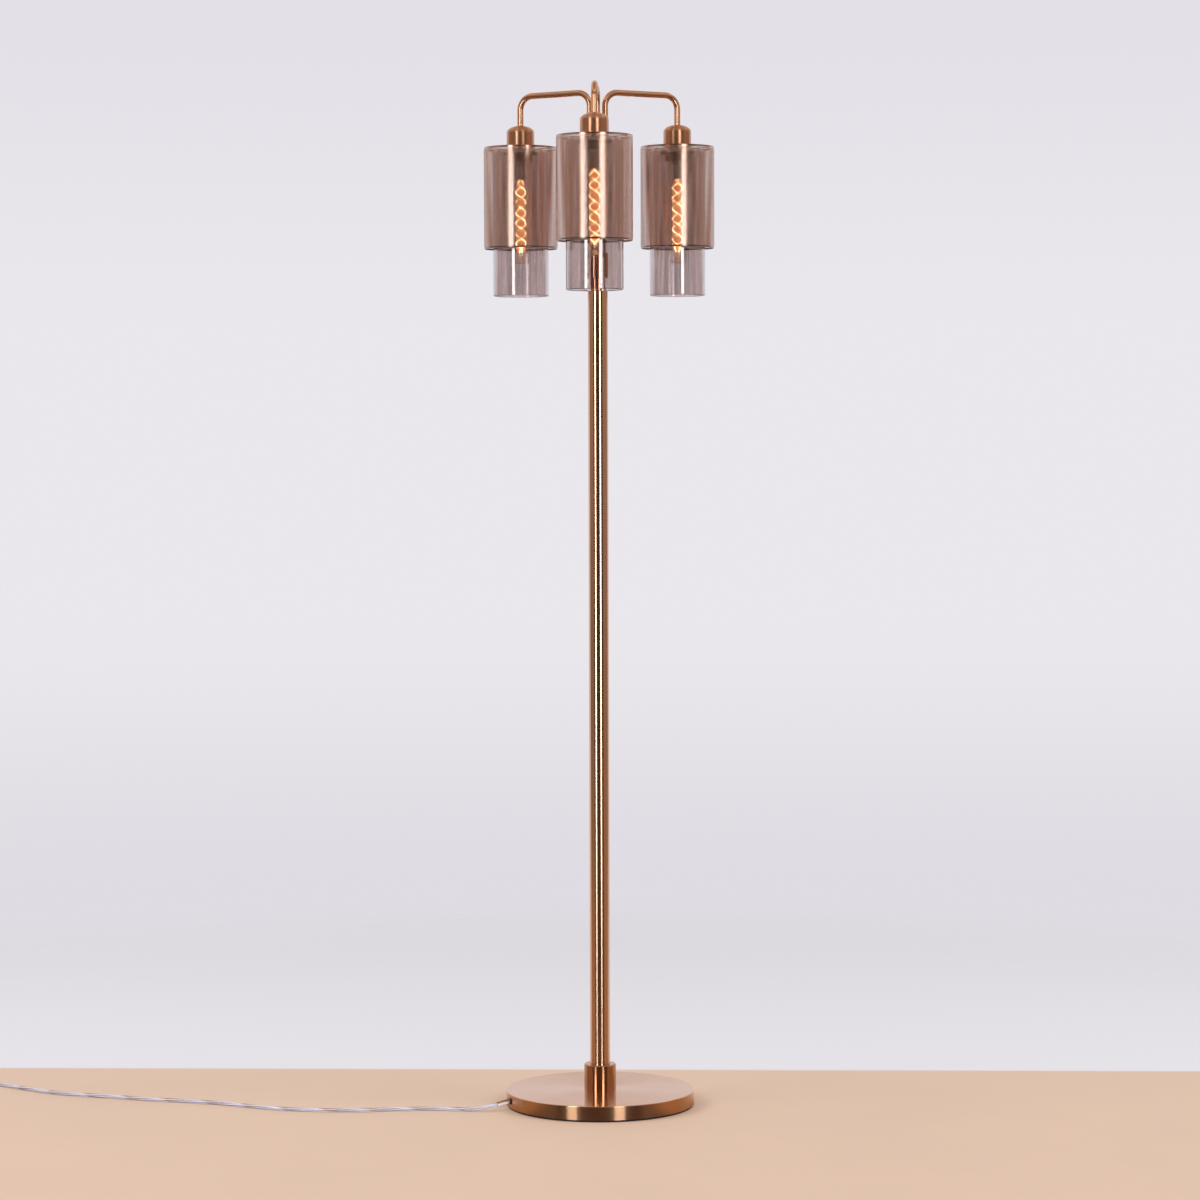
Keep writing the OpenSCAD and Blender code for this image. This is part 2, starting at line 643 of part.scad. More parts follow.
module mesh_shade(i) color([0.55, 0.38, 0.26]) at_shade(i) {
    r = mesh_d / 2;
    low = mesh_top - mesh_h;
    turn = mesh_turn_r;
    rotate_extrude($fn = 96) polygon(concat(
        [[r - 1.5 * mesh_t, mesh_top], [r, mesh_top]],
        arc([r - turn, low + turn], turn, 0, -90, 6),
        arc([r - turn, low + turn], turn - mesh_t, -90, 0, 6),
        [[r - mesh_t, mesh_top - mesh_band], [r - 1.5 * mesh_t, mesh_top - mesh_band]]
    ));
}

// The bulb's glass with the stem, rod and foot inside that carry the strands
module bulb_glass(i) color([0.8, 0.6, 0.4, 0.4]) at_shade(i) difference() {
    r = bulb_d / 2;
    e = bulb_end_h;
    t = bulb_t;
    neck = bulb_neck_r;
    z = bulb_neck_z;
    outer = concat([for (a = [0:9:90]) [r * sin(a), bulb_tip + e * (1 - cos(a))]],
        [[r, z - 12], [neck + 1.5, z - 5], [neck, z], [neck, z + 6], [0, z + 6]]);
    inner = concat([[0, bulb_tip + t]],
        [for (a = [9:9:90]) [(r - t) * sin(a), bulb_tip + t + (e - t) * (1 - cos(a))]],
        [[r - t, z - 12], [neck + 1.5 - t, z - 5], [neck - t, z], [neck - t, z + 4], [stem_r, z + 4]],
        [[stem_r, stem_z], [rod_r, stem_z], [rod_r, stem_foot_z], [stem_r, stem_foot_z]],
        [[stem_r, stem_foot_z - 2], [0, stem_foot_z - 2]]);
    rotate_extrude() difference() {
        polygon(outer);
        polygon(inner);
    }
    for (s = [-1, 1]) translate([s * (stem_r + 2), 0, z]) cylinder(r = 0.8, h = 8);
}

module bulb_cap(i) color([0.75, 0.7, 0.6]) at_shade(i) {
    r = bulb_cap_d / 2;
    rotate_extrude() polygon([
        [bulb_neck_r + fit, bulb_neck_z], [r, bulb_neck_z], [r, bulb_top - 4],
        [6, bulb_top - 1], [4.5, bulb_top], [0, bulb_top], [0, bulb_neck_z + 6 + fit],
        [bulb_neck_r + fit, bulb_neck_z + 6 + fit]
    ]);
}

// Two strands that wind round the rod, from the stem's end down to the foot
module filament(i) color([1, 0.6, 0.2]) at_shade(i) {
    steps = 56;
    high = stem_z - strand_d;
    low = stem_foot_z + strand_d;
    for (s = [0, 180]) {
        inside = [for (k = [0:steps]) let (u = k / steps, w = ease(u / 0.1) * ease((1 - u) / 0.1))
            [2.6 + (spiral_d / 2 - strand_d / 2 - 2.6) * w, s + 360 * spiral_turns * u, high + (low - high) * u]];
        path = concat(
            [[inside[0][0], s, stem_z]], inside, [[inside[steps][0], inside[steps][1], stem_foot_z]]
        );
        p = [for (q = path) [q[0] * cos(q[1]), q[0] * sin(q[1]), q[2]]];
        sweep_tube(p, [for (q = p) strand_d / 2], [for (q = path) [cos(q[1]), sin(q[1]), 0]], 5);
    }
}

module cord() color([0.85, 0.85, 0.88])
    floor_tube(cord_path, cord_d / 2, 8, sleeve_end_way, [-1, 0, 0]);
module cord_coil() color([0.85, 0.85, 0.88])
    floor_tube(coil_path, cord_d / 2, 6, [-1, 0, 0], [1, 0, 0]);

// A strap round all the turns at the coil's far side
tie_t = 0.8;
tie_w = 8;
tie_gap = 0.5;
module coil_tie() color([0.1, 0.1, 0.1]) {
    in_r = coil_inner_r - cord_d / 2 - tie_gap;
    out_r = coil_r(0) + cord_d / 2 + tie_gap;
    low = coil_low_z - cord_d / 2 - 0.1;
    high = coil_low_z + coil_layer + cord_d / 2 + tie_gap;
    translate([coil_at[0], coil_at[1] + tie_w / 2, 0]) rotate([90, 0, 0]) linear_extrude(tie_w)
        difference() {
            translate([-out_r - tie_t, low - tie_t])
                square([out_r - in_r + 2 * tie_t, high - low + 2 * tie_t]);
            translate([-out_r, low]) square([out_r - in_r, high - low]);
        }
}

// The foot switch: two shells that meet at the cord's height, with screws from below
switch_seat_z = 3.4;
module switch_sleeve_holes() for (s = [-1, 1]) translate([s * switch_len / 2, 0, switch_cord_z])
    rotate([0, 90, 0]) cylinder(r = sleeve_r + fit, h = 4 * switch_wall, center = true);

module switch_base() color([0.1, 0.1, 0.1]) translate(switch_at) difference() {
    union() {
        difference() {
            oval_block(switch_len, switch_w, 0, switch_cord_z, 0.01);
            oval_block(switch_len - 2 * switch_wall, switch_w - 2 * switch_wall,
                switch_wall, switch_cord_z + over, 0.01);
        }
        for (s = [-1, 1]) translate([s * switch_screw_at, 0, 0]) cylinder(r = 4.5, h = switch_cord_z);
    }
    for (s = [-1, 1]) translate([s * switch_screw_at, 0, -over]) {
        cylinder(d = small_d + 2 * slip, h = switch_cord_z + 2 * over);
        cylinder(d = small_head_d + 2 * slip, h = switch_seat_z + over);
    }
    switch_sleeve_holes();
}

module switch_cover() color([0.1, 0.1, 0.1]) translate(switch_at) difference() {
    union() {
        difference() {
            oval_block(switch_len, switch_w, switch_cord_z, switch_h, 4);
            oval_block(switch_len - 2 * switch_wall, switch_w - 2 * switch_wall,
                switch_cord_z - over, switch_h - switch_wall, 2);
        }
        for (s = [-1, 1]) translate([s * switch_screw_at, 0, switch_cord_z])
            cylinder(r = 4, h = switch_h - switch_wall - switch_cord_z);
    }
    cylinder(d = button_d + 2 * slip, h = switch_h + over);
    for (s = [-1, 1]) translate([s * switch_screw_at, 0, 0])
        cylinder(d = small_d + 2 * fit, h = switch_seat_z + small_len + over);
    switch_sleeve_holes();
}

module switch_button() color([0.2, 0.2, 0.2]) translate(switch_at) {
    flange_z = switch_h - switch_wall - slip - flange_t;
    high = switch_h + button_proud;
    rotate_extrude() polygon(concat(
        [[0, flange_z - stem_len], [3, flange_z - stem_len], [3, flange_z]],
        [[button_d / 2 + 1.5, flange_z], [button_d / 2 + 1.5, flange_z + flange_t]],
        [[button_d / 2, flange_z + flange_t]],
        arc([button_d / 2 - 1.5, high - 1.5], 1.5, 0, 90, 5), [[0, high]]
    ));
}

module switch_core() color([0.85, 0.85, 0.85]) translate(switch_at) difference() {
    flange_z = switch_h - switch_wall - slip - flange_t;
    high = flange_z - button_travel - 0.5;
    translate([-switch_core_size[0] / 2, -switch_core_size[1] / 2, switch_wall])
        cube([switch_core_size[0], switch_core_size[1], high - switch_wall]);
    translate([0, 0, flange_z - stem_len - button_travel - 0.5])
        cylinder(r = 3 + slip, h = switch_h);
}

module switch_screws() color("silver") translate(switch_at) for (s = [-1, 1])
    translate([s * switch_screw_at, 0, switch_seat_z])
        pan_screw(small_d, small_head_d, small_head_h, small_len);

module switch_sleeves() color([0.1, 0.1, 0.1]) translate([switch_at[0], switch_at[1], switch_cord_z])
    for (s = [0, 180]) rotate(s) translate([switch_len / 2, 0, 0]) rotate([0, 90, 0]) {
        cylinder(r1 = sleeve_r, r2 = sleeve_tip_r, h = sleeve_len);
        translate([0, 0, -sleeve_inside]) {
            cylinder(r = sleeve_r, h = sleeve_inside);
            cylinder(r = sleeve_r + 1, h = sleeve_flange_t);
        }
    }

module plug_body() color([0.1, 0.1, 0.1]) translate([plug_x, plug_y, 0]) difference() {
    union() {
        translate([-plug_sleeve_len, 0, plug_z]) rotate([0, 90, 0])
            cylinder(r1 = sleeve_tip_r, r2 = sleeve_r + 1, h = plug_sleeve_len);
        linear_extrude(plug_body_t) polygon([
            [0, -6], [plug_taper, -plug_body_w / 2 + 2], [plug_taper + 4, -plug_body_w / 2],
            [plug_body_len, -plug_body_w / 2], [plug_body_len, plug_body_w / 2],
            [plug_taper + 4, plug_body_w / 2], [plug_taper, plug_body_w / 2 - 2], [0, 6]
        ]);
    }
    for (s = [-1, 1]) translate([plug_body_len - pin_root, s * pin_gap / 2, plug_z])
        rotate([0, 90, 0]) cylinder(r = pin_d / 2 + fit, h = pin_root + over);
}

module plug_pins() color("silver") for (s = [-1, 1])
    translate([plug_x + plug_body_len - pin_root, plug_y + s * pin_gap / 2, plug_z])
        rotate([0, 90, 0]) {
            cylinder(d = pin_d, h = pin_root + pin_len - 1);
            translate([0, 0, pin_root + pin_len - 1]) cylinder(d1 = pin_d, d2 = pin_d - 1.6, h = 1);
        }

base_pad();
base_disc();
base_weight();
base_screws();
base_collar();
collar_screw();
cord_grommet();
cord_sleeve();
cord_clamp();
clamp_screws();
mains_lead();
lower_pole();
pole_coupler();
upper_pole();
pole_plug();
hub_nipple();
hub_body();
hub_top();
terminal_block();
hub_nuts();
arm_leads();
cap_nuts();
holder_cores();
shade_rings();
shade_carriers();
for (i = [0:2]) {
    arm(i);
    cap(i);
    lampholder(i);
    glass_shade(i);
    mesh_shade(i);
    bulb_glass(i);
    bulb_cap(i);
    filament(i);
}
cord();
cord_coil();
coil_tie();
switch_base();
switch_cover();
switch_button();
switch_core();
switch_sleeves();
switch_screws();
plug_body();
plug_pins();
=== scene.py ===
import bpy
import math
import numpy as np
from mathutils import Matrix, Vector


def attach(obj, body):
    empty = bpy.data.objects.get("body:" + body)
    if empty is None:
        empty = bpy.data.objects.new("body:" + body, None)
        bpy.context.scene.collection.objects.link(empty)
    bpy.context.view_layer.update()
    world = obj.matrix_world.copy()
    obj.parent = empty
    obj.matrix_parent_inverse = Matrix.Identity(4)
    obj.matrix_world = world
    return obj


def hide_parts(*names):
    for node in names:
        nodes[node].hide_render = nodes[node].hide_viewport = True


# A glass floor lamp: three smoked glass cylinders in perforated metal sleeves on one pole.
# Lengths are in metres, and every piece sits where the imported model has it.
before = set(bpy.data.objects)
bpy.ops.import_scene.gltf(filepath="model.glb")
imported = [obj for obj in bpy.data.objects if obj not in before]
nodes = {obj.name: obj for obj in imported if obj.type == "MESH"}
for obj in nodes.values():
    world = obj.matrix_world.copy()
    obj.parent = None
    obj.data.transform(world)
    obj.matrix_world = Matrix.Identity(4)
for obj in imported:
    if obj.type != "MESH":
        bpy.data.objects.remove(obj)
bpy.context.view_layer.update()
scene = bpy.context.scene
scene.view_settings.view_transform = "Standard"
print("stage 1: frame loaded,", len(nodes), "nodes")


cameraSettings = {
    "place": (0.1719, -5.4072, 1.0569),
    "turnLeft": 0.031413,    # these three are in radians
    "lookDown": 0.046035,
    "roll": 0.0029969,
    "lens": 102.19,          # this and the sensor's width are in millimetres
    "sensor": 36,
    "clip": (0.05, 60),
}


def placeCamera(want):
    # looks along +Y, turned left, tipped down and rolled by the angles above
    turn, down, roll = want["turnLeft"], want["lookDown"], want["roll"]
    look = Vector((-math.sin(turn) * math.cos(down), math.cos(turn) * math.cos(down), -math.sin(down)))
    side = Vector((math.cos(turn), math.sin(turn), 0))
    up = side.cross(look)
    side, up = math.cos(roll) * side - math.sin(roll) * up, math.sin(roll) * side + math.cos(roll) * up
    lens = bpy.data.cameras.new("photoCamera")
    lens.lens, lens.sensor_width = want["lens"], want["sensor"]
    lens.clip_start, lens.clip_end = want["clip"]
    camera = bpy.data.objects.new("photoCamera", lens)
    facing = Matrix((side, up, -look)).transposed().to_4x4()
    camera.matrix_world = Matrix.Translation(want["place"]) @ facing
    scene.collection.objects.link(camera)
    scene.camera = camera


placeCamera(cameraSettings)
print("stage 2: camera placed")


class Wire:
    # one socket; sums, products and powers of wires become Math nodes
    def __init__(self, tree, socket=None):
        self.tree, self.socket = tree, socket

    def add(self, kind, settings, sockets, out=0):
        # any node: its type, its settings, then the values or wires of its sockets
        node = self.tree.nodes.new("ShaderNode" + kind)
        for name, value in settings.items():
            setattr(node, name, value)
        for name, value in sockets.items():
            if isinstance(value, Wire):
                self.tree.links.new(value.socket, node.inputs[name])
            else:
                node.inputs[name].default_value = value
        return Wire(self.tree, node.outputs[out] if len(node.outputs) else None)

    def maths(self, operation, *values):
        return self.add("Math", {"operation": operation}, dict(enumerate(values)))

    def __add__(self, other):
        return self.maths("ADD", self, other)

    def __radd__(self, other):
        return self.maths("ADD", other, self)

    def __sub__(self, other):
        return self.maths("SUBTRACT", self, other)

    def __rsub__(self, other):
        return self.maths("SUBTRACT", other, self)

    def __mul__(self, other):
        return self.maths("MULTIPLY", self, other)

    def __rmul__(self, other):
        return self.maths("MULTIPLY", other, self)

    def __truediv__(self, other):
        return self.maths("DIVIDE", self, other)

    def __rtruediv__(self, other):
        return self.maths("DIVIDE", other, self)

    def __pow__(self, other):
        return self.maths("POWER", self, other)

    def __rpow__(self, other):
        return self.maths("POWER", other, self)

    def between(self, low, high):
        # 0 at low, 1 at high, eased in between
        settings = {"interpolation_type": "SMOOTHSTEP"}
        return self.add("MapRange", settings, {"Value": self, "From Min": low, "From Max": high})

    def tint(self, first, second):
        # the colour first where this wire is 0, second where it is 1
        return self.add("Mix", {"data_type": "RGBA"}, {0: self, 6: first, 7: second}, out=2)

    def noise(self, place, scale, detail=3.0, roughness=0.5):
        sockets = {"Vector": place, "Scale": scale, "Detail": detail, "Roughness": roughness}
        return self.add("TexNoise", {}, sockets)

    def split(self):
        # the x, y and z of a vector
        node = self.add("SeparateXYZ", {}, {0: self}).socket.node
        return [Wire(self.tree, part) for part in node.outputs]


def rgb(red, green, blue):
    return (red, green, blue, 1.0)


def newTree(name):
    material = bpy.data.materials.new(name)
    material.use_nodes = True
    material.node_tree.nodes.clear()
    return material, Wire(material.node_tree)


def finishTree(wire, shader):
    wire.add("OutputMaterial", {}, {"Surface": shader})


def objectPlace(wire, centre=(0, 0)):
    # object coordinates, measured from the upright axis through centre
    place = wire.add("TexCoord", {}, {}, out=3)
    return wire.add("Mapping", {}, {"Vector": place, "Location": (-centre[0], -centre[1], 0)})


brassFinish = {
    "disc": (0.83, 0.485, 0.285),
    "pole": (0.83, 0.52, 0.34),
    # painted shade: the collar's tint is a darker copy of the brass, for its dark sides
    "collar": (0.56, 0.31, 0.165),
    "cap": (0.70, 0.37, 0.215),
    "arm": (0.76, 0.435, 0.26),
    "deep": 0.92,           # the darker brush lines, as a share of the tint
    "brushPitch": 5200,     # brush lines per metre
    "brushRound": 1.5,      # how fast a brush line changes on its way round
    "brushDepth": 0.000002,
    "cloudScale": 18.0,
    "handlingScale": 65.0,
    "discTop": (0.0238, 0.0247),   # heights between which the disc's edge turns into its top
}


def turnedMetal(name, tint, roughness, spread, centre=(0, 0), anisotropic=1.0, topRoughness=None):
    # metal brushed on a lathe: lines run round the axis through centre
    material, wire = newTree(name)
    place = objectPlace(wire, centre)
    x, y, z = place.split()
    radius = (x * x + y * y) ** 0.5
    angle = y.maths("ARCTAN2", y, x)
    line = wire.add("CombineXYZ", {}, {
        0: (radius + z) * brassFinish["brushPitch"], 1: angle * brassFinish["brushRound"], 2: 0.0})
    brush = wire.noise(line, 1.0, 2.0)
    cloud = wire.noise(place, brassFinish["cloudScale"], 4.0)
    handling = wire.noise(place, brassFinish["handlingScale"], 2.0)
    if topRoughness is not None:     # the disc's top is polished brighter than its edge
        roughness = roughness + z.between(*brassFinish["discTop"]) * (topRoughness - roughness)
    rough = roughness + (brush - 0.5) * spread + cloud.between(0.35, 0.7) * spread * 0.5
    deep = [brassFinish["deep"] * c for c in tint]
    tone = (cloud * 0.6 + brush * 0.4 + handling * 0.2).between(0.35, 0.85).tint(rgb(*tint), rgb(*deep))
    bump = wire.add("Bump", {}, {"Strength": 0.05, "Distance": brassFinish["brushDepth"], "Height": brush})
    finishTree(wire, wire.add("BsdfPrincipled", {}, {
        "Base Color": tone, "Metallic": 1.0, "Roughness": rough, "Normal": bump,
        "Anisotropic": anisotropic, "Anisotropic Rotation": 0.25,
    }))
    return material


def plainMetal(name, tint, deep, roughness, spread=0.05, grain=240.0, depth=0.00002):
    # metal with a fine even grain, such as zinc plate, cast iron or nickel
    material, wire = newTree(name)
    place = objectPlace(wire)
    fine = wire.noise(place, grain, 4.0)
    cloud = wire.noise(place, 22.0, 3.0)
    tone = (fine * 0.5 + cloud * 0.5).between(0.3, 0.75).tint(tint, deep)
    bump = wire.add("Bump", {}, {"Strength": 0.4, "Distance": depth, "Height": fine})
    rough = roughness + (cloud - 0.5) * spread * 2
    finishTree(wire, wire.add("BsdfPrincipled", {}, {
        "Base Color": tone, "Metallic": 1.0, "Roughness": rough, "Normal": bump}))
    return material


def mouldedPlastic(name, tint, pale, roughness, grain=900.0, depth=0.00003, coat=0.0):
    # moulded plastic, rubber or porcelain with a fine skin
    material, wire = newTree(name)
    place = objectPlace(wire)
    skin = wire.noise(place, grain, 3.0)
    cloud = wire.noise(place, 30.0, 3.0)
    tone = (skin * 0.5 + cloud * 0.5).between(0.3, 0.8).tint(tint, pale)
    bump = wire.add("Bump", {}, {"Strength": 0.5, "Distance": depth, "Height": skin})
    rough = roughness + (cloud - 0.5) * 0.12
    finishTree(wire, wire.add("BsdfPrincipled", {}, {
        "Base Color": tone, "Roughness": rough, "Normal": bump, "Coat Weight": coat}))
    return material


sheetFinish = {
    "tint": (0.58, 0.31, 0.205),
    "rimPaintedShade": 0.3,               # how dark the painted shade on the two rim bands is, as a share of the tint
    "lowRimShade": (1.3714, 1.3706),    # heights between which painted shade darkens the sheet, at its lower edge
    "highRimShade": (1.5282, 1.5288),   # and at its upper one
    "roughness": 0.25,
}


def lacqueredSheet(name, want):
    # thin satin sheet under lacquer, with painted shade darkening it along its two rim bands
    material, wire = newTree(name)
    tint = want["tint"]
    place = objectPlace(wire)
    cloud = wire.noise(place, 26.0, 3.0)
    fine = wire.noise(place, 700.0, 3.0)
    tone = (cloud * 0.6 + fine * 0.4).between(0.3, 0.75).tint(rgb(*tint), rgb(*[0.86 * c for c in tint]))
    z = place.split()[2]
    # painted shade: the plain bands at both rims are darkened to stand in for the dark reflections seen there
    edge = z.between(*want["lowRimShade"]) + z.between(*want["highRimShade"])
    tone = edge.tint(tone, rgb(*[want["rimPaintedShade"] * c for c in tint]))
    bump = wire.add("Bump", {}, {"Strength": 0.3, "Distance": 0.000005, "Height": fine})
    finishTree(wire, wire.add("BsdfPrincipled", {}, {
        "Base Color": tone, "Metallic": 0.88, "Roughness": want["roughness"] + (cloud - 0.5) * 0.06,
        "Normal": bump, "Coat Weight": 1.0, "Coat Roughness": 0.12, "Coat IOR": 2.1}))
    return material


def clearStuff(name, tint, deep, ior, haze=0.0, shadow=0.85, centre=(0, 0), streaks=0.0):
    # glass or clear plastic; streaks are darker lines drawn up the wall, round the axis through centre
    material, wire = newTree(name)
    place = objectPlace(wire, centre)
    depth = wire.noise(place, 14.0, 3.0)
    if streaks:
        x, y, z = place.split()
        around = wire.add("CombineXYZ", {}, {0: y.maths("ARCTAN2", y, x), 1: z * 0.8, 2: 0.0})
        depth = depth * (1 - streaks) + wire.noise(around, 7.0, 4.0, 0.65) * streaks
    tone = depth.between(0.36, 0.64).tint(rgb(*tint), rgb(*deep))
    smear = wire.noise(place, 60.0, 3.0)
    solid = wire.add("BsdfPrincipled", {}, {
        "Base Color": tone, "Roughness": haze + smear.between(0.5, 0.9) * 0.02,
        "IOR": ior, "Transmission Weight": 1.0})
    through = wire.add("BsdfTransparent", {}, {"Color": rgb(*[shadow * c for c in tint])})
    isShadow = wire.add("LightPath", {}, {}, out="Is Shadow Ray")
    finishTree(wire, wire.add("MixShader", {}, {0: isShadow, 1: solid, 2: through}))
    return material


def hotWire(name, cool, hot, strength):
    # a glowing strand, paler where it is hotter
    material, wire = newTree(name)
    place = objectPlace(wire)
    heat = wire.noise(place, 400.0, 2.0).between(0.3, 0.7).tint(rgb(*cool), rgb(*hot))
    finishTree(wire, wire.add("BsdfPrincipled", {}, {
        "Base Color": rgb(0.5, 0.3, 0.15), "Roughness": 0.5,
        "Emission Color": heat, "Emission Strength": strength}))
    return material


# painted glow colours for the tube inside the strands and for the bead under it
coreFinish = {
    "cool": (1.0, 0.26, 0.06),
    "hot": (1.0, 0.33, 0.09),
    "strength": 4.4,
    "alpha": 0.15,
    "bead": (0.12, 0.06, 0.037),
    "beadAlpha": 0.9,
    "beadEdge": (1.360, 1.358),   # heights between the tube above and the bead below
}


def paintedGlowFinish(name, want):
    # painted glow: the thin amber tube inside the strands stands in for the haze of light round them, and the
    # duller bead under it glows a little too
    material, wire = newTree(name)
    place = objectPlace(wire)
    z = place.split()[2]
    heat = wire.noise(place, 160.0, 3.0).between(0.3, 0.7).tint(rgb(*want["cool"]), rgb(*want["hot"]))
    inBead = z.between(*want["beadEdge"])
    heat = inBead.tint(heat, rgb(*want["bead"]))
    finishTree(wire, wire.add("BsdfPrincipled", {}, {
        "Base Color": rgb(0.35, 0.14, 0.06), "Roughness": 0.4,
        "Alpha": want["alpha"] + inBead * (want["beadAlpha"] - want["alpha"]),
        "Emission Color": heat, "Emission Strength": want["strength"]}))
    return material


armAngles = {"front": -90, "left": 150, "right": 30}
armReach = 0.145


def shadeAxis(side):
    turn = math.radians(armAngles[side])
    return armReach * math.cos(turn), armReach * math.sin(turn)


discBrass = turnedMetal("discBrass", brassFinish["disc"], roughness=0.2, spread=0.03, topRoughness=0.15)
collarShadedBrass = turnedMetal("collarShadedBrass", brassFinish["collar"], roughness=0.15, spread=0.03)
poleBrass = turnedMetal("poleBrass", brassFinish["pole"], roughness=0.19, spread=0.02)
capBrass = {side: turnedMetal("capBrass_" + side, brassFinish["cap"], roughness=0.37, spread=0.04,
                              centre=shadeAxis(side), anisotropic=0.88) for side in armAngles}
armBrass = plainMetal("armBrass", rgb(*brassFinish["arm"]), rgb(0.70, 0.40, 0.235),
                      roughness=0.21, spread=0.03, grain=420.0, depth=0.000003)
meshBrass = lacqueredSheet("meshBrass", sheetFinish)
zincSteel = plainMetal("zincSteel", rgb(0.72, 0.73, 0.75), rgb(0.55, 0.56, 0.58), roughness=0.32)
nickelPlate = plainMetal("nickelPlate", rgb(0.75, 0.70, 0.62), rgb(0.62, 0.58, 0.50), roughness=0.2)
castIron = plainMetal("castIron", rgb(0.20, 0.20, 0.22), rgb(0.10, 0.10, 0.11),
                      roughness=0.6, spread=0.1, grain=160.0, depth=0.0003)
blackRubber = mouldedPlastic("blackRubber", rgb(0.018, 0.017, 0.018), rgb(0.035, 0.033, 0.034),
                             roughness=0.7)
blackPlastic = mouldedPlastic("blackPlastic", rgb(0.012, 0.012, 0.013), rgb(0.022, 0.021, 0.022),
                              roughness=0.38)
blackPhenolic = mouldedPlastic("blackPhenolic", rgb(0.02, 0.017, 0.016), rgb(0.035, 0.03, 0.028),
                               roughness=0.3, grain=500.0, depth=0.00001)
whitePorcelain = mouldedPlastic("whitePorcelain", rgb(0.78, 0.76, 0.72), rgb(0.7, 0.68, 0.64),
                                roughness=0.2, grain=300.0, depth=0.00001, coat=0.5)
paleCore = mouldedPlastic("paleCore", rgb(0.82, 0.80, 0.87), rgb(0.72, 0.70, 0.77), roughness=0.4)
smokedGlass = {side: clearStuff("smokedGlass_" + side, (0.81, 0.73, 0.725), (0.60, 0.51, 0.50), ior=1.9,
                                centre=shadeAxis(side), streaks=0.75) for side in armAngles}
bulbGlass = clearStuff("bulbGlass", (0.99, 0.96, 0.92), (0.985, 0.95, 0.90), ior=1.3)
clearPvc = clearStuff("clearPvc", (0.95, 0.94, 0.98), (0.92, 0.91, 0.96), ior=1.34, haze=0.12)
hotStrand = hotWire("hotStrand", (1.0, 0.64, 0.27), (1.0, 0.80, 0.46), strength=12.0)
amberCore = paintedGlowFinish("amberCore", coreFinish)

slotFinish = {
    "rubber_black": blackRubber, "iron_cast": castIron, "steel_zinc": zincSteel,
    "brass_polished": poleBrass, "pvc_clear": clearPvc, "plastic_black": blackPlastic,
    "porcelain": whitePorcelain, "phenolic_black": blackPhenolic, "mesh_brass": meshBrass,
    "glass_bulb": bulbGlass, "nickel": nickelPlate, "filament_glow": hotStrand,
}
nodeFinish = {"base_disc": discBrass, "base_collar": collarShadedBrass}   # these go before the slot's finish
for side in armAngles:
    nodeFinish["cap_" + side] = capBrass[side]
    nodeFinish["arm_" + side] = armBrass
    nodeFinish["glass_shade_" + side] = smokedGlass[side]
for name, obj in nodes.items():
    for slot in obj.material_slots:
        slot.material = nodeFinish.get(name) or slotFinish[slot.material.name.split(".")[0]]
print("stage 3: finishes on", len(nodes), "nodes")


def makePiece(name, points, faceGroups, material, smooth=True, sharpAngle=None):
    # points is (n, 3); each face group is an (m, k) array of corner numbers
    mesh = bpy.data.meshes.new(name)
    points = np.asarray(points, dtype=np.float32).reshape(-1, 3)
    corners = np.concatenate([g.reshape(-1) for g in faceGroups]).astype(np.int32)
    counts = np.concatenate([np.full(len(g), g.shape[1]) for g in faceGroups]).astype(np.int32)
    starts = np.concatenate([[0], np.cumsum(counts)[:-1]]).astype(np.int32)
    mesh.vertices.add(len(points))
    mesh.vertices.foreach_set("co", points.reshape(-1))
    mesh.loops.add(len(corners))
    mesh.loops.foreach_set("vertex_index", corners)
    mesh.polygons.add(len(counts))
    mesh.polygons.foreach_set("loop_start", starts)
    mesh.polygons.foreach_set("use_smooth", np.full(len(counts), smooth))
    mesh.update(calc_edges=True)
    mesh.validate()
    if sharpAngle is not None:
        mesh.set_sharp_from_angle(angle=math.radians(sharpAngle))
    mesh.materials.append(material)
    piece = bpy.data.objects.new(name, mesh)
    scene.collection.objects.link(piece)
    return piece


def quadsOf(rows, columns):
    # a sheet of rows by columns that closes on itself across
    a = np.arange(rows - 1)[:, None] * columns + np.arange(columns)[None, :]
    b = np.arange(rows - 1)[:, None] * columns + (np.arange(columns)[None, :] + 1) % columns
    return np.stack([a, b, b + columns, a + columns], axis=-1).reshape(-1, 4)


def sweptTube(path, radius, sides, ups=(0, 0, 1)):
    # circle carried along a path: path point + radius times (cos across + sin up)
    path = np.asarray(path, dtype=float)
    along = np.gradient(path, axis=0)
    along /= np.linalg.norm(along, axis=1, keepdims=True)
    across = np.cross(along, np.broadcast_to(np.asarray(ups, dtype=float), path.shape))
    across /= np.linalg.norm(across, axis=1, keepdims=True)
    up = np.cross(across, along)
    turn = np.arange(sides) * 2 * np.pi / sides
    radius = np.broadcast_to(np.asarray(radius, dtype=float), (len(path),))[:, None, None]
    rings = path[:, None, :] + radius * (
        np.cos(turn)[None, :, None] * across[:, None, :] + np.sin(turn)[None, :, None] * up[:, None, :])
    first = np.arange(sides)[None, :]
    last = (len(path) - 1) * sides + np.arange(sides)[::-1][None, :]
    return rings.reshape(-1, 3), [quadsOf(len(path), sides)[:, ::-1], first, last]


def tubePiece(name, path, radius, sides, material):
    points, faces = sweptTube(path, radius, sides)
    return makePiece(name, points, faces, material, sharpAngle=50)


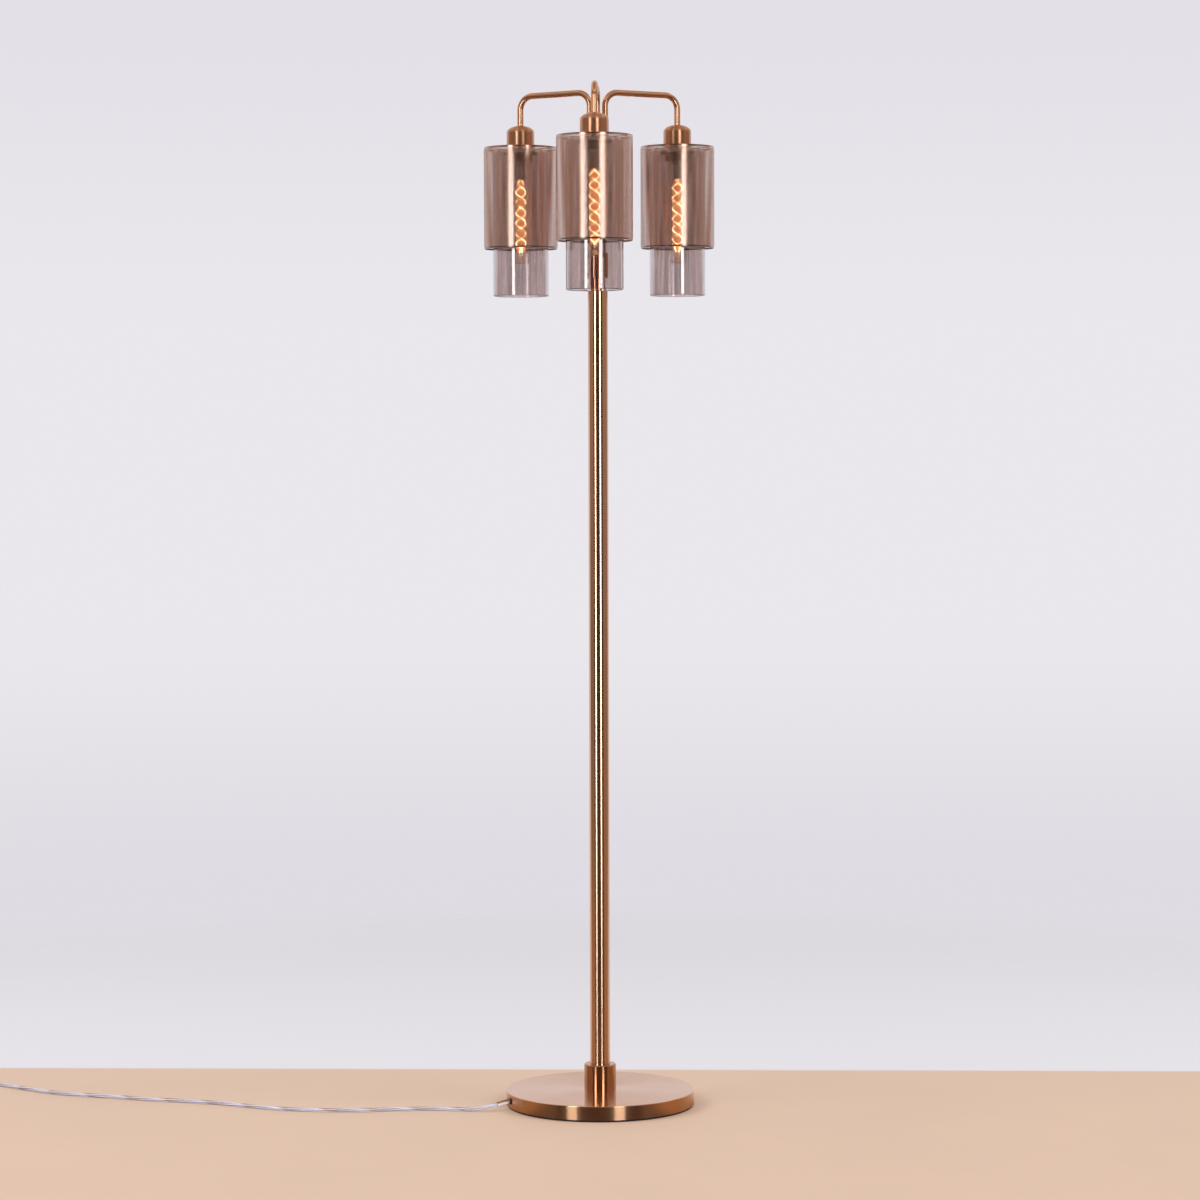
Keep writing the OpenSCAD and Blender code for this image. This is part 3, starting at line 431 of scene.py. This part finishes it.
def smoothRoute(points, steps):
    # Catmull-Rom curve: between two points, a cubic set by them and their neighbours
    p = np.asarray(points, dtype=float)
    p = np.vstack([p[:1], p, p[-1:]])
    a, b, c, d = p[:-3], p[1:-2], p[2:-1], p[3:]
    u = (np.arange(steps) / steps)[None, :, None]
    a, b, c, d = (q[:, None, :] for q in (a, b, c, d))
    curve = 0.5 * (2 * b + (c - a) * u + (2 * a - 5 * b + 4 * c - d) * u ** 2
                   + (3 * b - a - 3 * c + d) * u ** 3)
    return np.vstack([curve.reshape(-1, 3), p[-1:]])


def ease(u):
    # 0 up to 0, 1 from 1 on, and a smooth rise between them
    u = np.clip(u, 0, 1)
    return u * u * (3 - 2 * u)


def runLength(path):
    return float(np.linalg.norm(np.diff(path, axis=0), axis=1).sum())


cordSettings = {
    "diameter": 0.006,
    "sides": 16,
    "routeSteps": 8,         # points from one of the route's points to the next
    "angle": 200,            # the way out of the base, in degrees
    "exitRadius": 0.1518,
    "exitHeight": 0.014,
    "sleeveRun": ((0, 0), (0.0055, -0.0002), (0.0125, -0.0014), (0.0205, -0.0036)),
    "sleeveRadii": (0.0037, 0.00335),
    "sleeveSides": 24,
    "coreDiameter": 0.0021,
    "coreSides": 8,
    "coreGap": 0.00235,
    "coreTwist": 0.14,       # length of one turn of the pair
    "switchPlace": (-1.117, 0.172),
    "switchOutlet": -1.171,
    "switchHeight": 0.008,
}
cordRoute = (  # millimetres, as in the model's source
    (-181, -64, 6.4), (-199, -65, 4), (-225, -61, 3.2), (-270, -58, 3.2), (-318, -62, 3.2),
    (-370, -71, 3.2), (-411, -73, 3.2), (-450, -71, 3.2), (-502, -63, 3.2), (-558, -41, 3.2),
    (-615, -16, 3.2), (-670, 0, 3.2), (-726, 12, 3.2), (-783, 31, 3.2), (-840, 47, 3.2),
    (-897, 69, 3.2), (-946, 101, 3.2), (-993, 134, 3.2), (-1017, 152, 3.6), (-1035, 163, 5),
    (-1049, 170, 7), (-1057, 172, 8), (-1063, 172, 8))
coilSettings = {
    "loops": 4.5,
    "loopSteps": 48,         # points on one turn
    "innerRadius": 0.025,
    "pitch": 0.0066,
    "low": 0.004,
    "layer": 0.0065,         # from one layer up to the next
    "rounding": 0.1,         # both in turns: where the spiral turns back, and the climb there
    "climb": 0.5,
    "lead": 0.02,            # straight run at each end
    "leadSteps": 8,
    "plugHeight": 0.007,
}


def sleevePoints(want):
    turn = math.radians(want["angle"])
    return [((want["exitRadius"] + out) * math.cos(turn), (want["exitRadius"] + out) * math.sin(turn),
             want["exitHeight"] + rise) for out, rise in want["sleeveRun"]]


def coilPath(want, cord):
    # spirals in, climbs one layer and spirals out: the radius is the inner one plus pitch times
    # the turns away from the middle, rounded there, and each end eases to its own height
    def radiusAt(t):
        return want["innerRadius"] + want["pitch"] * (np.hypot(t - half, want["rounding"]) - want["rounding"])

    half = want["loops"] / 2
    outlet, row = cord["switchOutlet"], cord["switchPlace"][1]
    lead, size = want["lead"], cord["diameter"]
    steps, leadSteps = want["loopSteps"], want["leadSteps"]
    centre = (outlet - size - lead, row - radiusAt(0))
    into = np.arange(leadSteps) / leadSteps
    first = np.stack([outlet - size - lead * into, np.full(leadSteps, row),
                      cord["switchHeight"] + (want["low"] - cord["switchHeight"]) * ease(into)], axis=-1)
    t = np.arange(int(steps * want["loops"]) + 1) / steps
    turn = np.pi / 2 + 2 * np.pi * t
    height = want["low"] + want["layer"] * ease((t - half) / want["climb"] + 0.5)
    loops = np.stack([centre[0] + radiusAt(t) * np.cos(turn),
                      centre[1] + radiusAt(t) * np.sin(turn), height], axis=-1)
    out = np.arange(1, leadSteps + 1) / leadSteps
    plugRow, top = centre[1] - radiusAt(want["loops"]), want["low"] + want["layer"]
    last = np.stack([centre[0] + lead * out, np.full(leadSteps, plugRow),
                     top + (want["plugHeight"] - top) * ease(out)], axis=-1)
    start = [[outlet, row, cord["switchHeight"]]]
    end = [[centre[0] + lead + size, plugRow, want["plugHeight"]]]
    return np.vstack([start, first, loops, last, end])


def corePair(name, path, want):
    # two pale cores that twist slowly round each other inside the jacket: path point plus or minus
    # half the gap times (cos across + sin up), with an angle that grows along the path
    along = np.gradient(path, axis=0)
    along /= np.linalg.norm(along, axis=1, keepdims=True)
    across = np.cross(along, [0, 0, 1])
    across /= np.linalg.norm(across, axis=1, keepdims=True)
    up = np.cross(across, along)
    run = np.concatenate([[0], np.cumsum(np.linalg.norm(np.diff(path, axis=0), axis=1))])
    turn = 2 * np.pi * run / want["coreTwist"]
    arm = want["coreGap"] / 2 * (np.cos(turn)[:, None] * across + np.sin(turn)[:, None] * up)
    points, faces, start = [], [], 0
    for way in (1, -1):
        ring, groups = sweptTube(path + way * arm, want["coreDiameter"] / 2, want["coreSides"])
        points.append(ring)
        faces += [g + start for g in groups]
        start += len(ring)
    return makePiece(name, np.vstack(points), faces, paleCore, sharpAngle=50)


def layCord():
    want = cordSettings
    radius, sides, steps = want["diameter"] / 2, want["sides"], want["routeSteps"]
    sleeve = sleevePoints(want)
    path = smoothRoute([sleeve[-1]] + [(x / 1000, y / 1000, z / 1000) for x, y, z in cordRoute], steps)
    jacket = tubePiece("lamp_cord", path, radius, sides, clearPvc)
    cores = corePair("lamp_cord_cores", path, want)
    relief = smoothRoute(sleeve, steps)
    taper = np.linspace(*want["sleeveRadii"], len(relief))
    boot = tubePiece("cord_boot", relief, taper, want["sleeveSides"], clearPvc)
    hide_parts("cord_sleeve")
    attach(boot, "lamp")
    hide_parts("cord")
    for piece in (jacket, cores):
        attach(piece, "lamp")
    coil = coilPath(coilSettings, want)
    coilJacket = tubePiece("coil_cord", coil, radius, sides, clearPvc)
    coilCores = corePair("coil_cord_cores", coil, want)
    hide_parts("cord_coil")
    for piece in (coilJacket, coilCores):
        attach(piece, "lamp")
    print("cord", round(runLength(path), 4), "coil", round(runLength(coil), 4))


layCord()
print("stage 4: cord laid")


meshSettings = {
    "outerRadius": 0.059,
    "wall": 0.0003,
    "columns": 206,
    "rows": 43,
    "holeRadius": 0.00109,
    "low": 1.368,
    "high": 1.530,
    "lowBand": 0.0018,
    "highBand": 0.0022,
    "turnRadius": 0.0012,
    "topBand": 0.0020,
    "topWall": 0.0012,
    "topStep": 0.0003,       # height of the step where the wall thickens
    "bevel": 0.0002,
    "bendSteps": 7,
}


def perforatedHalf(name, side, half, want):
    # Hexagonal holes in staggered columns. Each hole sits in a diamond whose four corner posts
    # it shares, and place (column, height) rolls up as (radius cos, radius sin, height).
    columns, rows, wall = want["columns"], want["rows"], want["wall"]
    radius, hole, turn = want["outerRadius"], want["holeRadius"], want["turnRadius"]
    first = half * columns // 2
    last = first + columns // 2 - 1
    low = want["low"] + want["lowBand"]
    pitch = (want["high"] - want["highBand"] - low) / rows
    step = 2 * np.pi / columns

    col = np.arange(first - 1, last + 2)
    even = (col % 2 == 0)[:, None]
    row = np.arange(rows + 1)[None, :]
    there = even | (row < rows)
    postId = np.where(there, np.cumsum(there.reshape(-1)).reshape(there.shape) - 1, -1)
    postPlace = np.broadcast_to(col[:, None], there.shape)[there]
    postHigh = (low + pitch * np.where(even, row, row + 0.5))[there]
    top = np.where(even[:, 0], postId[:, rows], postId[:, rows - 1])

    c, k = np.meshgrid(np.arange(1, len(col) - 1), np.arange(rows), indexing="ij")
    isEven = (col[c] % 2 == 0)
    keep = isEven | (k > 0)
    c, k, isEven = c[keep], k[keep], isEven[keep]
    south = np.where(isEven, postId[c, k], postId[c, k - 1])
    north = np.where(isEven, postId[c, k + 1], postId[c, k])
    west, east = postId[c - 1, k], postId[c + 1, k]
    middle = low + pitch * np.where(isEven, k + 0.5, k)
    way = np.radians([90, 30, -30, -90, -150, 150])
    holePlace = col[c][:, None] + hole * np.cos(way) / (radius * step)
    holeHigh = middle[:, None] + hole * np.sin(way)
    base = len(postPlace)
    h = base + np.arange(len(c) * 6).reshape(-1, 6)
    quads = [np.stack(q, axis=-1) for q in (
        (east, north, h[:, 0], h[:, 1]), (north, west, h[:, 5], h[:, 0]),
        (west, south, h[:, 3], h[:, 4]), (south, east, h[:, 2], h[:, 3]))]
    triangles = [np.stack(t, axis=-1) for t in ((west, h[:, 4], h[:, 5]), (east, h[:, 1], h[:, 2]))]

    # plain rows below and above: turned in at the bottom, thicker at the top. Each row is the
    # outer radius and height, then the inner radius and height.
    bend = np.radians(np.linspace(0, 90, want["bendSteps"]))
    bendRadius, bendHigh = radius - turn, want["low"] + turn
    lowRows = [(bendRadius + turn * math.cos(a), bendHigh - turn * math.sin(a),
                bendRadius + (turn - wall) * math.cos(a), bendHigh - (turn - wall) * math.sin(a))
               for a in bend]
    high, bevel, thin = want["high"], want["bevel"], radius - want["topWall"]
    band = high - want["topBand"]
    thick = band + want["topStep"]
    highRows = [(radius, band, radius - wall, band), (radius, thick, thin, thick),
                (radius, high - bevel, thin, high - bevel),
                (radius - bevel, high, thin + bevel, high)]
    rim = col[1:]
    count = base + h.size
    place = [postPlace, holePlace.reshape(-1)]
    heights = np.concatenate([postHigh, holeHigh.reshape(-1)])
    shape = [np.stack([np.full(count, radius), heights, np.full(count, radius - wall), heights], axis=-1)]
    for rowsNow, start in ((lowRows, postId[1:, 0]), (highRows, top[1:])):
        before = start
        for r in rowsNow:
            now = count + np.arange(len(rim))
            pair = (now, before) if rowsNow is lowRows else (before, now)
            quads.append(np.stack([pair[0][:-1], pair[0][1:], pair[1][1:], pair[1][:-1]], axis=-1))
            place.append(rim)
            shape.append(np.tile(r, (len(rim), 1)))
            before, count = now, count + len(rim)

    turnAt = np.concatenate(place) * step - np.pi / 2
    shape = np.vstack(shape)
    axisX, axisY = shadeAxis(side)
    outer, inner = (np.stack([axisX + r * np.cos(turnAt), axisY + r * np.sin(turnAt), z], -1)
                    for r, z in ((shape[:, 0], shape[:, 1]), (shape[:, 2], shape[:, 3])))
    quads, triangles = np.vstack(quads), np.vstack(triangles)
    edges = np.vstack([np.stack([f[:, i], f[:, (i + 1) % f.shape[1]]], -1)
                       for f in (quads, triangles) for i in range(f.shape[1])])
    # an edge that only one face uses is a rim, and gets a wall through the sheet
    key = edges.min(axis=1).astype(np.int64) * count + edges.max(axis=1)
    firstAt, often = np.unique(key, return_index=True, return_counts=True)[1:]
    rimEdges = edges[firstAt[often == 1]]
    walls = np.stack([rimEdges[:, 1], rimEdges[:, 0], rimEdges[:, 0] + count, rimEdges[:, 1] + count], -1)
    faces = [quads, quads[:, ::-1] + count, walls, triangles, triangles[:, ::-1] + count]
    piece = makePiece(name, np.vstack([outer, inner]), faces, meshBrass, sharpAngle=40)
    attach(piece, "lamp")
    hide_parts("mesh_shade_" + side)


for side in armAngles:
    for half, word in enumerate(("a", "b")):
        perforatedHalf("perforated_shade_" + side + "_" + word, side, half, meshSettings)
print("stage 5: perforated shades")


strandSettings = {
    "radius": 0.00040,
    "startRadius": 0.0026,
    "spiralRadius": 0.0079,
    "turns": 3.5,
    "high": 1.4792,
    "low": 1.3622,
    "endGap": 0.0012,
    "endShare": 0.1,         # of the length, in which the spiral widens and narrows
    "steps": 180,
    "sides": 10,
}
coreSettings = {
    # radius and height down the amber tube of painted glow, and down the bead under it, near the bulb's
    # bottom
    "tube": ((0.0008, 1.4784), (0.0040, 1.4780), (0.0060, 1.4768), (0.0068, 1.4745), (0.0068, 1.3680),
             (0.0062, 1.3658), (0.0040, 1.3644), (0.0008, 1.3640)),
    "bead": ((0.0007, 1.3545), (0.0024, 1.3541), (0.0034, 1.3528), (0.0038, 1.3506), (0.0035, 1.3484),
             (0.0022, 1.3467), (0.0006, 1.3462)),
    "sides": 32,
}


def glowingStrands(side, want):
    # two helices half a turn apart: place = axis + radius (cos, sin) while the height falls evenly
    axisX, axisY = shadeAxis(side)
    u = np.linspace(0, 1, want["steps"])
    share, gap = want["endShare"], want["endGap"]
    swell = (want["spiralRadius"] - want["startRadius"]) * ease(u / share) * ease((1 - u) / share)
    radius = want["startRadius"] + swell
    height = want["high"] - gap + (want["low"] - want["high"] + 2 * gap) * u
    points, faces, start = [], [], 0
    for s in (0, np.pi):
        turn = math.radians(armAngles[side]) + s + 2 * np.pi * want["turns"] * u
        path = np.stack([axisX + radius * np.cos(turn), axisY + radius * np.sin(turn), height], -1)
        path = np.vstack([path[:1] + [[0, 0, gap]], path, path[-1:] - [[0, 0, gap]]])
        turn = np.concatenate([turn[:1], turn, turn[-1:]])
        ups = np.stack([np.cos(turn), np.sin(turn), 0 * turn], -1)
        ring, groups = sweptTube(path, want["radius"], want["sides"], ups)
        points.append(ring)
        faces += [g + start for g in groups]
        start += len(ring)
    piece = makePiece("strands_" + side, np.vstack(points), faces, hotStrand, sharpAngle=50)
    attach(piece, "lamp")
    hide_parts("filament_" + side)


def paintedGlowTube(side, want):
    # two profiles of radius and height turned round the bulb's axis
    axisX, axisY = shadeAxis(side)
    sides = want["sides"]
    turn = np.arange(sides) * 2 * np.pi / sides
    points, faces, start = [], [], 0
    for part in ("tube", "bead"):
        profile = np.array(want[part])
        rings = np.stack([axisX + profile[:, :1] * np.cos(turn), axisY + profile[:, :1] * np.sin(turn),
                          profile[:, 1:] + 0 * turn], -1)
        points.append(rings.reshape(-1, 3))
        ends = np.arange(sides)[None, :], (len(profile) - 1) * sides + np.arange(sides)[None, ::-1]
        faces += [start + g for g in (quadsOf(len(profile), sides)[:, ::-1], *ends)]
        start += len(points[-1])
    # a painted glow that is no lamp, standing in for the light round the strands
    piece = makePiece("amber_core_" + side, np.vstack(points), faces, amberCore)
    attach(piece, "lamp")


for side in armAngles:
    glowingStrands(side, strandSettings)
    paintedGlowTube(side, coreSettings)
print("stage 6: strands")


studio = {
    "backdrop": (0.818, 0.802, 0.842),
    "backdropHigh": (0.768, 0.745, 0.800),
    "backdropLow": (0.735, 0.718, 0.765),
    "floor": (0.74, 0.545, 0.41),       # the warm floor that the lamp stands on
    "sweep": (0.79, 0.785, 0.83),       # the pale sweep behind it
    "sweepFrom": 0.30,                  # how far behind the pole the sweep starts
    "floorRadius": 2.6,
    "floorRings": 13,
    "floorSides": 96,
    "fadeFrom": 1.5,
    "floorSide": (0.38, 0.20, 0.075),   # painted shade in reflections: the darker floor that metal sees beside and before the lamp
    "floorFront": (0.055, 0.022, 0.008),
    "floorFrontShare": (0.45, 0.75),
    "floorBackShare": (0.0, -0.5),
    "ambient": (0.72, 0.70, 0.71),
    "glossyDark": (0.036, 0.026, 0.022),
    "glossyMid": (0.38, 0.285, 0.285),
    "glossyLow": (0.18, 0.12, 0.085),
    "glossyBand": (0.52, 0.395, 0.35),
    "glossyTop": (0.42, 0.34, 0.31),
    "glossyLamp": (1.0, 0.84, 0.72),    # a bright ring high up, seen in the arms and domes
    "glossyLeft": 0.74,                 # how bright the left side is, as a share of the right
    "backTurn": 6,                      # degrees that the backdrop is turned to the left
    "paleRise": (0.03, 0.13),           # rises and falls are the z of a direction, from none to all
    "paleFall": (-0.05, -0.13),
    "bandRise": (0.0, 0.06),
    "bandFall": (0.26, 0.20),
    "sideRise": (-0.12, 0.16),
    "topRise": (0.35, 0.85),
    "lampRise": (0.55, 0.62),
    "lampFall": (0.80, 0.73),
    "rightShare": (-0.35, 0.35),        # shares are how far a way turns right, to the front or back
    "frontShare": (0.50, 0.68),
    "backShare": (0.375, 0.56),
    "boxAt": 2.5,                       # from the lamp, in metres
    "boxes": ((-31.7, 0.50), (24.8, 0.52)),   # degrees from the camera's side, width
    "boxLow": 0.03,
    "boxHigh": 2.4,
    "boxRadiance": 5.4,
    "softSize": 2.0,                    # the two soft lights, each with its place and power
    "softTowards": (0, 0, 0.8),
    "softLeft": ((-3.1, -1.2, 2.9), 52.0),
    "softRight": ((3.2, -1.0, 2.8), 46.8),
}


def layFloor(want):
    # rings of points at radius (cos, sin)
    rings, sides = want["floorRings"], want["floorSides"]
    radii = np.linspace(0.0, want["floorRadius"], rings + 1)[1:, None]
    turn = np.arange(sides) * 2 * np.pi / sides
    grid = np.stack([radii * np.cos(turn), radii * np.sin(turn), 0 * radii * turn], -1)
    faces = quadsOf(rings, sides)[:, ::-1]
    centre = np.arange(sides)[None, :]
    material, wire = newTree("paintedFloor")
    place = objectPlace(wire)
    x, y = place.split()[:2]
    away = (x * x + y * y) ** 0.5
    cloud = wire.noise(place, 3.0, 4.0)
    pale, edge = want["floor"], want["sweepFrom"]
    board = cloud.between(0.3, 0.8).tint(rgb(*pale), rgb(*[0.97 * c for c in pale]))
    tone = y.between(edge - 0.01, edge + 0.01).tint(board, rgb(*want["sweep"]))
    # painted shade in reflections: glossy rays see the floor darker beside the lamp and near black before it
    front = (0 - y) / (away + 0.0001)
    seen = front.between(*want["floorFrontShare"]).tint(rgb(*want["floorSide"]), rgb(*want["floorFront"]))
    seen = front.between(*want["floorBackShare"]).tint(seen, tone)
    isGlossy = wire.add("LightPath", {}, {}, out="Is Glossy Ray")
    fine = wire.noise(place, 180.0, 3.0)
    bump = wire.add("Bump", {}, {"Strength": 0.15, "Distance": 0.0005, "Height": fine})
    paint = wire.add("BsdfPrincipled", {}, {
        "Base Color": isGlossy.tint(tone, seen), "Roughness": 0.65, "Specular IOR Level": 0.15,
        "Normal": bump})
    clear = wire.add("BsdfTransparent", {}, {})
    fade = away.between(want["fadeFrom"], want["floorRadius"] - 0.05)
    finishTree(wire, wire.add("MixShader", {}, {0: fade, 1: paint, 2: clear}))
    floor = makePiece("studio_floor", grid, [faces, centre], material, smooth=False)


def paintWorld(want):
    # the camera sees the plain pale backdrop, straight or through glass; reflections see a studio
    # that is dark on the camera's side
    world = bpy.data.worlds.new("paleStudio")
    world.use_nodes = True
    world.node_tree.nodes.clear()
    scene.world = world
    wire = Wire(world.node_tree)
    way = wire.add("TexCoord", {}, {}, out=0)
    x, y, z = way.split()
    level = (x * x + y * y) ** 0.5 + 0.0001
    front = (0 - y) / level
    turn = math.radians(want["backTurn"])
    behind = (y * math.cos(turn) - x * math.sin(turn)) / level
    pale = z.between(*want["paleRise"]).tint(rgb(*want["backdrop"]), rgb(*want["backdropHigh"]))
    pale = z.between(*want["paleFall"]).tint(pale, rgb(*want["backdropLow"]))
    band = z.between(*want["bandRise"]) * z.between(*want["bandFall"])
    lampHigh = z.between(*want["lampRise"]) * z.between(*want["lampFall"])
    side = z.between(*want["sideRise"]).tint(rgb(*want["glossyLow"]), rgb(*want["glossyMid"]))
    right = (x / level).between(*want["rightShare"])
    share = right.tint(rgb(*[want["glossyLeft"]] * 3), rgb(1.0, 1.0, 1.0))
    side = wire.add("VectorMath", {"operation": "MULTIPLY"}, {0: side, 1: share})
    side = band.tint(side, rgb(*want["glossyBand"]))
    seen = front.between(*want["frontShare"]).tint(side, rgb(*want["glossyDark"]))
    seen = behind.between(*want["backShare"]).tint(seen, pale)
    seen = z.between(*want["topRise"]).tint(seen, rgb(*want["glossyTop"]))
    seen = lampHigh.tint(seen, rgb(*want["glossyLamp"]))
    path = wire.add("LightPath", {}, {}, out="Is Camera Ray").socket.node
    camera, glossy, glass, mirrored = (Wire(wire.tree, path.outputs[n]) for n in (
        "Is Camera Ray", "Is Glossy Ray", "Is Transmission Ray", "Glossy Depth"))
    mirrored = mirrored.maths("GREATER_THAN", mirrored, 0.5)
    colour = glossy.maths("MAXIMUM", glossy, glass * mirrored).tint(rgb(*want["ambient"]), seen)
    colour = camera.maths("MAXIMUM", camera, glass * (1 - mirrored)).tint(colour, pale)
    back = wire.add("Background", {}, {"Color": colour, "Strength": 1.0})
    wire.add("OutputWorld", {}, {"Surface": back})


def areaLight(name, place, towards, width, height, power, glossy, diffuse):
    light = bpy.data.lights.new(name, "AREA")
    light.shape, light.size, light.size_y, light.energy = "RECTANGLE", width, height, power
    lamp = bpy.data.objects.new(name, light)
    facing = (Vector(towards) - Vector(place)).to_track_quat("-Z", "Y").to_matrix().to_4x4()
    lamp.matrix_world = Matrix.Translation(place) @ facing
    lamp.visible_camera = False
    lamp.visible_glossy, lamp.visible_diffuse, lamp.visible_transmission = glossy, diffuse, glossy
    scene.collection.objects.link(lamp)


def placeLights(want):
    height, middle = want["boxHigh"] - want["boxLow"], (want["boxHigh"] + want["boxLow"]) / 2
    for number, (turn, width) in enumerate(want["boxes"]):
        a = math.radians(turn)
        place = (want["boxAt"] * math.sin(a), -want["boxAt"] * math.cos(a), middle)
        power = want["boxRadiance"] * math.pi * width * height
        areaLight("tallBox" + str(number + 1), place, (0, 0, place[2]), width, height, power, True, False)
    size, towards = want["softSize"], want["softTowards"]
    for name in ("softLeft", "softRight"):
        place, power = want[name]
        areaLight(name, place, towards, size, size, power, False, True)


layFloor(studio)
paintWorld(studio)
placeLights(studio)
print("stage 7: floor and light")
